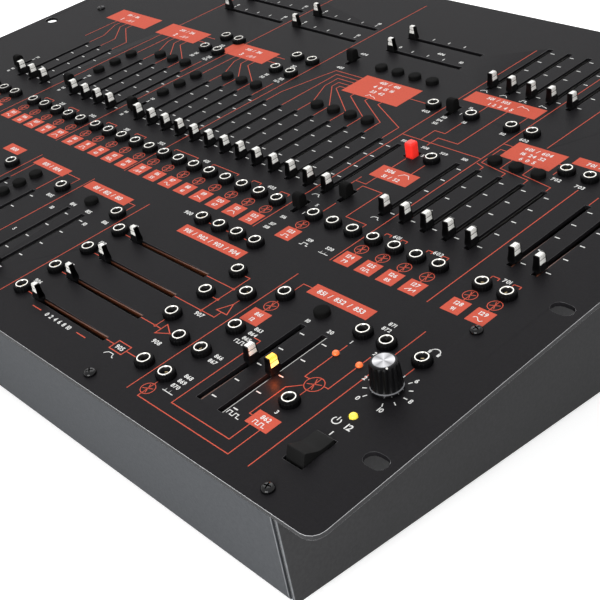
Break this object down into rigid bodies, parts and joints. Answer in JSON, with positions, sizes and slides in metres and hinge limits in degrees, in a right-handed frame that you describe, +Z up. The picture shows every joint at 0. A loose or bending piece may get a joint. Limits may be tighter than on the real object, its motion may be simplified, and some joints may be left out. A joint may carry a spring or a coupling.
{
  "type": "semi-modular synthesizer",
  "caption": "Desk-top semi-modular analogue synthesizer: wedge steel case under a rack-width panel of sliding faders, patch sockets, switches, a knob and a rocker.",
  "frame": {"origin": "on the table plane under the feet, at the middle of the object's width and depth", "axes": "+X to the player's right, +Y away from the player towards the back, +Z up; the panel rises towards +Y at 8.6 degrees"},
  "size_m": [0.4826, 0.3646, 0.1033],
  "materials": {
    "panel": "fine matte powder coat",
    "case": "satin powder coat",
    "black_plastic": "satin",
    "fader_cap": "black with a white inlay",
    "red_plastic": "satin",
    "amber_lens": "clear, lit",
    "board": "solder resist",
    "rubber": "matte"
  },
  "bodies": {
    "case": {"front_panel": "panel", "case_tray": "case", "side_plate_left": "case", "side_plate_right": "case", "foot_front_left": "rubber", "foot_front_right": "rubber", "foot_back_left": "rubber", "foot_back_right": "rubber", "control_board": "board", "power_light": "amber_lens", "rocker_frame": "black_plastic", "mains_inlet": "black_plastic", "rear_socket_board": "board", "voice_board": "board", "power_supply": "board"},
    "fader_oscillator_b_1": {"fader_oscillator_b_1": "fader_cap"},
    "fader_oscillator_b_2": {"fader_oscillator_b_2": "fader_cap"},
    "fader_oscillator_b_3": {"fader_oscillator_b_3": "fader_cap"},
    "fader_oscillator_b_4": {"fader_oscillator_b_4": "fader_cap"},
    "fader_oscillator_c_1": {"fader_oscillator_c_1": "fader_cap"},
    "fader_oscillator_c_2": {"fader_oscillator_c_2": "fader_cap"},
    "fader_oscillator_c_3": {"fader_oscillator_c_3": "fader_cap"},
    "fader_oscillator_c_4": {"fader_oscillator_c_4": "fader_cap"},
    "fader_filter_1": {"fader_filter_1": "fader_cap"},
    "fader_filter_2": {"fader_filter_2": "fader_cap"},
    "fader_filter_3": {"fader_filter_3": "fader_cap"},
    "fader_filter_4": {"fader_filter_4": "fader_cap"},
    "fader_filter_5": {"fader_filter_5": "fader_cap"},
    "fader_filter_6": {"fader_filter_6": "fader_cap"},
    "fader_filter_7": {"fader_filter_7": "fader_cap"},
    "fader_filter_8": {"fader_filter_8": "fader_cap"},
    "fader_attack": {"fader_attack": "fader_cap"},
    "fader_release": {"fader_release": "fader_cap"},
    "fader_amplifier_1": {"fader_amplifier_1": "fader_cap"},
    "fader_amplifier_2": {"fader_amplifier_2": "fader_cap"},
    "fader_amplifier_3": {"fader_amplifier_3": "fader_cap"},
    "fader_amplifier_4": {"fader_amplifier_4": "fader_cap"},
    "fader_mixer_1": {"fader_mixer_1": "fader_cap"},
    "fader_mixer_2": {"fader_mixer_2": "fader_cap"},
    "fader_envelope_1": {"fader_envelope_1": "fader_cap"},
    "fader_envelope_2": {"fader_envelope_2": "fader_cap"},
    "fader_envelope_3": {"fader_envelope_3": "fader_cap"},
    "fader_envelope_4": {"fader_envelope_4": "fader_cap"},
    "fader_envelope_5": {"fader_envelope_5": "fader_cap"},
    "fader_hold_1": {"fader_hold_1": "fader_cap"},
    "fader_hold_2": {"fader_hold_2": "fader_cap"},
    "fader_processor_1": {"fader_processor_1": "fader_cap"},
    "fader_processor_2": {"fader_processor_2": "fader_cap"},
    "fader_processor_3": {"fader_processor_3": "fader_cap"},
    "fader_processor_4": {"fader_processor_4": "fader_cap"},
    "switch_range_a": {"switch_range_a": "black_plastic"},
    "switch_range_b": {"switch_range_b": "black_plastic"},
    "switch_range_c": {"switch_range_c": "black_plastic"},
    "switch_mode": {"switch_mode": "black_plastic"},
    "switch_low_factor": {"switch_low_factor": "black_plastic"},
    "switch_source": {"switch_source": "black_plastic"},
    "switch_high_factor": {"switch_high_factor": "black_plastic"},
    "push_button": {"push_button": "red_plastic"},
    "volume_knob": {"volume_knob": "black_plastic"},
    "power_rocker": {"power_rocker": "black_plastic"}
  },
  "joints": [
    {"name": "fader_oscillator_b_1_slide", "type": "slide", "parent": "case", "child": "fader_oscillator_b_1", "axis": [0, 0.9887, 0.1496], "range_m": [0, 0.045]},
    {"name": "fader_oscillator_b_2_slide", "type": "slide", "parent": "case", "child": "fader_oscillator_b_2", "axis": [0, 0.9887, 0.1496], "range_m": [0, 0.045]},
    {"name": "fader_oscillator_b_3_slide", "type": "slide", "parent": "case", "child": "fader_oscillator_b_3", "axis": [0, 0.9887, 0.1496], "range_m": [0, 0.045]},
    {"name": "fader_oscillator_b_4_slide", "type": "slide", "parent": "case", "child": "fader_oscillator_b_4", "axis": [0, 0.9887, 0.1496], "range_m": [0, 0.045]},
    {"name": "fader_oscillator_c_1_slide", "type": "slide", "parent": "case", "child": "fader_oscillator_c_1", "axis": [0, 0.9887, 0.1496], "range_m": [0, 0.045]},
    {"name": "fader_oscillator_c_2_slide", "type": "slide", "parent": "case", "child": "fader_oscillator_c_2", "axis": [0, 0.9887, 0.1496], "range_m": [0, 0.045]},
    {"name": "fader_oscillator_c_3_slide", "type": "slide", "parent": "case", "child": "fader_oscillator_c_3", "axis": [0, 0.9887, 0.1496], "range_m": [0, 0.045]},
    {"name": "fader_oscillator_c_4_slide", "type": "slide", "parent": "case", "child": "fader_oscillator_c_4", "axis": [0, 0.9887, 0.1496], "range_m": [0, 0.045]},
    {"name": "fader_filter_1_slide", "type": "slide", "parent": "case", "child": "fader_filter_1", "axis": [0, 0.9887, 0.1496], "range_m": [0, 0.045]},
    {"name": "fader_filter_2_slide", "type": "slide", "parent": "case", "child": "fader_filter_2", "axis": [0, 0.9887, 0.1496], "range_m": [0, 0.045]},
    {"name": "fader_filter_3_slide", "type": "slide", "parent": "case", "child": "fader_filter_3", "axis": [0, 0.9887, 0.1496], "range_m": [0, 0.045]},
    {"name": "fader_filter_4_slide", "type": "slide", "parent": "case", "child": "fader_filter_4", "axis": [0, 0.9887, 0.1496], "range_m": [0, 0.045]},
    {"name": "fader_filter_5_slide", "type": "slide", "parent": "case", "child": "fader_filter_5", "axis": [0, 0.9887, 0.1496], "range_m": [0, 0.045]},
    {"name": "fader_filter_6_slide", "type": "slide", "parent": "case", "child": "fader_filter_6", "axis": [0, 0.9887, 0.1496], "range_m": [0, 0.045]},
    {"name": "fader_filter_7_slide", "type": "slide", "parent": "case", "child": "fader_filter_7", "axis": [0, 0.9887, 0.1496], "range_m": [0, 0.045]},
    {"name": "fader_filter_8_slide", "type": "slide", "parent": "case", "child": "fader_filter_8", "axis": [0, 0.9887, 0.1496], "range_m": [0, 0.045]},
    {"name": "fader_attack_slide", "type": "slide", "parent": "case", "child": "fader_attack", "axis": [0, 0.9887, 0.1496], "range_m": [0, 0.045]},
    {"name": "fader_release_slide", "type": "slide", "parent": "case", "child": "fader_release", "axis": [0, 0.9887, 0.1496], "range_m": [0, 0.045]},
    {"name": "fader_amplifier_1_slide", "type": "slide", "parent": "case", "child": "fader_amplifier_1", "axis": [0, 0.9887, 0.1496], "range_m": [0, 0.045]},
    {"name": "fader_amplifier_2_slide", "type": "slide", "parent": "case", "child": "fader_amplifier_2", "axis": [0, 0.9887, 0.1496], "range_m": [0, 0.045]},
    {"name": "fader_amplifier_3_slide", "type": "slide", "parent": "case", "child": "fader_amplifier_3", "axis": [0, 0.9887, 0.1496], "range_m": [0, 0.045]},
    {"name": "fader_amplifier_4_slide", "type": "slide", "parent": "case", "child": "fader_amplifier_4", "axis": [0, 0.9887, 0.1496], "range_m": [0, 0.045]},
    {"name": "fader_mixer_1_slide", "type": "slide", "parent": "case", "child": "fader_mixer_1", "axis": [0, 0.9887, 0.1496], "range_m": [0, 0.045]},
    {"name": "fader_mixer_2_slide", "type": "slide", "parent": "case", "child": "fader_mixer_2", "axis": [0, 0.9887, 0.1496], "range_m": [0, 0.045]},
    {"name": "fader_envelope_1_slide", "type": "slide", "parent": "case", "child": "fader_envelope_1", "axis": [0, 0.9887, 0.1496], "range_m": [0, 0.045]},
    {"name": "fader_envelope_2_slide", "type": "slide", "parent": "case", "child": "fader_envelope_2", "axis": [0, 0.9887, 0.1496], "range_m": [0, 0.045]},
    {"name": "fader_envelope_3_slide", "type": "slide", "parent": "case", "child": "fader_envelope_3", "axis": [0, 0.9887, 0.1496], "range_m": [0, 0.045]},
    {"name": "fader_envelope_4_slide", "type": "slide", "parent": "case", "child": "fader_envelope_4", "axis": [0, 0.9887, 0.1496], "range_m": [0, 0.045]},
    {"name": "fader_envelope_5_slide", "type": "slide", "parent": "case", "child": "fader_envelope_5", "axis": [0, 0.9887, 0.1496], "range_m": [0, 0.045]},
    {"name": "fader_hold_1_slide", "type": "slide", "parent": "case", "child": "fader_hold_1", "axis": [0, 0.9887, 0.1496], "range_m": [-0.0225, 0.0225]},
    {"name": "fader_hold_2_slide", "type": "slide", "parent": "case", "child": "fader_hold_2", "axis": [0, 0.9887, 0.1496], "range_m": [-0.0225, 0.0225]},
    {"name": "fader_processor_1_slide", "type": "slide", "parent": "case", "child": "fader_processor_1", "axis": [1, 0, 0], "range_m": [0, 0.045]},
    {"name": "fader_processor_2_slide", "type": "slide", "parent": "case", "child": "fader_processor_2", "axis": [1, 0, 0], "range_m": [0, 0.045]},
    {"name": "fader_processor_3_slide", "type": "slide", "parent": "case", "child": "fader_processor_3", "axis": [1, 0, 0], "range_m": [0, 0.045]},
    {"name": "fader_processor_4_slide", "type": "slide", "parent": "case", "child": "fader_processor_4", "axis": [1, 0, 0], "range_m": [0, 0.045]},
    {"name": "switch_range_a_slide", "type": "slide", "parent": "case", "child": "switch_range_a", "axis": [0, 0.9887, 0.1496], "range_m": [0, 0.006]},
    {"name": "switch_range_b_slide", "type": "slide", "parent": "case", "child": "switch_range_b", "axis": [0, 0.9887, 0.1496], "range_m": [0, 0.006]},
    {"name": "switch_range_c_slide", "type": "slide", "parent": "case", "child": "switch_range_c", "axis": [0, 0.9887, 0.1496], "range_m": [0, 0.006]},
    {"name": "switch_mode_slide", "type": "slide", "parent": "case", "child": "switch_mode", "axis": [0, 0.9887, 0.1496], "range_m": [-0.003, 0.003]},
    {"name": "switch_low_factor_slide", "type": "slide", "parent": "case", "child": "switch_low_factor", "axis": [0, 0.9887, 0.1496], "range_m": [-0.003, 0.003]},
    {"name": "switch_source_slide", "type": "slide", "parent": "case", "child": "switch_source", "axis": [0, 0.9887, 0.1496], "range_m": [-0.003, 0.003]},
    {"name": "switch_high_factor_slide", "type": "slide", "parent": "case", "child": "switch_high_factor", "axis": [0, 0.9887, 0.1496], "range_m": [-0.003, 0.003]},
    {"name": "push_button_slide", "type": "slide", "parent": "case", "child": "push_button", "axis": [0, 0.1496, -0.9887], "range_m": [0, 0.0015], "stiffness_N_per_m": 400, "springref_m": -0.0005},
    {"name": "volume_knob_turn", "type": "hinge", "parent": "case", "child": "volume_knob", "pos_m": [0.21086, -0.11606, 0.05972], "axis": [0, -0.1496, 0.9887], "range_deg": [-27, 273]},
    {"name": "power_rocker_tip", "type": "hinge", "parent": "case", "child": "power_rocker", "pos_m": [0.21086, -0.15396, 0.05236], "axis": [1, 0, 0], "range_deg": [0, 28]}
  ]
}
